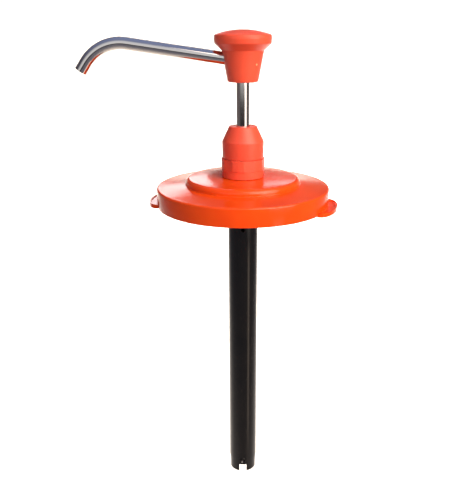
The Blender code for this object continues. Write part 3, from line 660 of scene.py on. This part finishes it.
# the parts that stay as they came
finishes = {
    "head_gasket": rubber, "rod_seal": rubber, "wiper_ring": rubber, "stop_buffer": rubber,
    "rod_oring": rubber, "spout_oring": rubber, "piston_seal": rubber, "rod_bush": acetal,
    "piston_body": acetal, "piston_retainer": acetal, "spring_seat": acetal, "foot_ball_cage": black,
    "foot_ball": steel, "piston_ball": steel, "ball_stop_pin": steel, "seal_washer": steel,
    "stop_clip": steel,
}
for name, material in finishes.items():
    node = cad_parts[name]
    node.data.materials.clear()
    node.data.materials.append(material)
print("kept parts painted")


# stage: a pale floor that curves up behind, and soft boxes
sweep = {"z": -1.2, "half": 6.0, "bendStart": 2.2, "bend": 1.2, "top": 1.72}


def makeFloor():
    builder = bmesh.new()
    points = [(-sweep["half"], 0.0), (sweep["bendStart"], 0.0)]
    for i in range(1, 16):
        turn = math.radians(6 * i)
        y = sweep["bendStart"] + sweep["bend"] * math.sin(turn)
        points.append((y, sweep["bend"] - sweep["bend"] * math.cos(turn)))
    points.append((sweep["bendStart"] + sweep["bend"], sweep["top"]))
    for (y0, z0), (y1, z1) in zip(points, points[1:]):
        corners = [(-sweep["half"], y0, z0), (sweep["half"], y0, z0),
                   (sweep["half"], y1, z1), (-sweep["half"], y1, z1)]
        builder.faces.new([builder.verts.new((x, y, z + sweep["z"])) for x, y, z in corners])
    bmesh.ops.remove_doubles(builder, verts=builder.verts, dist=1e-5)
    mesh = bpy.data.meshes.new("floor")
    builder.to_mesh(mesh)
    builder.free()
    mesh.shade_smooth()
    paper, tree, shader, coords = newMaterial("whitePaperSweep")
    shader.inputs["Base Color"].default_value = toLinear("#CFC6BB")
    shader.inputs["Roughness"].default_value = 0.9
    mesh.materials.append(paper)
    floor = bpy.data.objects.new("floor", mesh)
    bpy.context.scene.collection.objects.link(floor)


def softBox(name, spot, target, size, watts, hexColour, spread=180):
    light = bpy.data.lights.new(name, "AREA")
    light.shape = "RECTANGLE"
    light.size, light.size_y = size
    light.energy = watts
    light.spread = math.radians(spread)
    light.color = toLinear(hexColour)[:3]
    obj = bpy.data.objects.new(name, light)
    bpy.context.scene.collection.objects.link(obj)
    obj.location = spot
    obj.rotation_euler = (Vector(target) - Vector(spot)).to_track_quat("-Z", "Y").to_euler()


makeFloor()
softBox("keyPanel", (1.0, -1.0, 0.95), (0, 0, 0.02), (1.9, 2.0), 21.5, "#FFEFDC", 85)
softBox("sidePanel", (1.05, -0.88, 0.04), (0, 0, 0.05), (0.8, 0.66), 1.9, "#FFF4EA", 120)
softBox("lowPanel", (0.75, -0.73, -0.75), (0, 0, -0.75), (0.24, 0.8), 0.55, "#FFE6CC", 120)
softBox("backLeftPanel", (-0.28, 1.73, 0.5), (0, 0, 0.0), (0.27, 0.28), 1.0, "#FFF0F0")
softBox("backRightPanel", (0.19, 1.74, 0.54), (0, 0, 0.0), (0.24, 0.1), 0.3, "#FFD8DC")
softBox("floorWash", (0.0, 2.4, 2.0), (0, 2.6, -1.2), (3.0, 1.4), 175, "#FFFFFF", 100)
world = bpy.data.worlds.new("studio")
bpy.context.scene.world = world
world.use_nodes = True
sky = world.node_tree
skyWay = addNode(sky, "ShaderNodeTexCoord").outputs["Generated"]
skyAxes = addNode(sky, "ShaderNodeSeparateXYZ", {0: skyWay}).outputs


# colours of the room from straight down to straight up
def roomRamp(stops):
    node = addNode(sky, "ShaderNodeValToRGB", {"Fac": mapped(sky, skyAxes["Z"], 0, 1, -1, 1)})
    elements = node.color_ramp.elements
    while len(elements) < len(stops):
        elements.new(0.5)
    for element, (height, hexColour) in zip(elements, stops):
        element.position = (height + 1) / 2
        element.color = toLinear(hexColour)
    return node.outputs["Color"]


sideRoom = roomRamp([(-1, "#8C8A90"), (0.0, "#6E6668"), (0.4, "#545260"), (1, "#8E9AC4")])
frontStops = [(-1, "#4A4648"), (-0.04, "#3A3638"), (0.05, "#EEEEF0"), (0.6, "#EAECF4"), (0.95, "#8E9AC4")]
frontRoom = roomRamp(frontStops)
towardsFront = mapped(sky, skyAxes["Y"], 1, 0, -0.85, -0.35)
sky.links.new(mixedColour(sky, towardsFront, sideRoom, frontRoom), sky.nodes["Background"].inputs["Color"])
sky.nodes["Background"].inputs["Strength"].default_value = 1.05

# camera
view = {"place": (0, -0.5874, 0.1428), "down": math.radians(19.35), "lens": 45.19, "shift": -0.0298}
camera = bpy.data.cameras.new("camera")
camera.lens = view["lens"]
camera.sensor_width = 36
camera.shift_x = view["shift"]
camera.clip_start = 0.01
cameraObject = bpy.data.objects.new("camera", camera)
bpy.context.scene.collection.objects.link(cameraObject)
cameraObject.location = view["place"]
cameraObject.rotation_euler = (math.pi / 2 - view["down"], 0, 0)
bpy.context.scene.camera = cameraObject
bpy.context.scene.view_settings.view_transform = "Standard"
bpy.context.scene.view_settings.look = "None"
print("stage made")
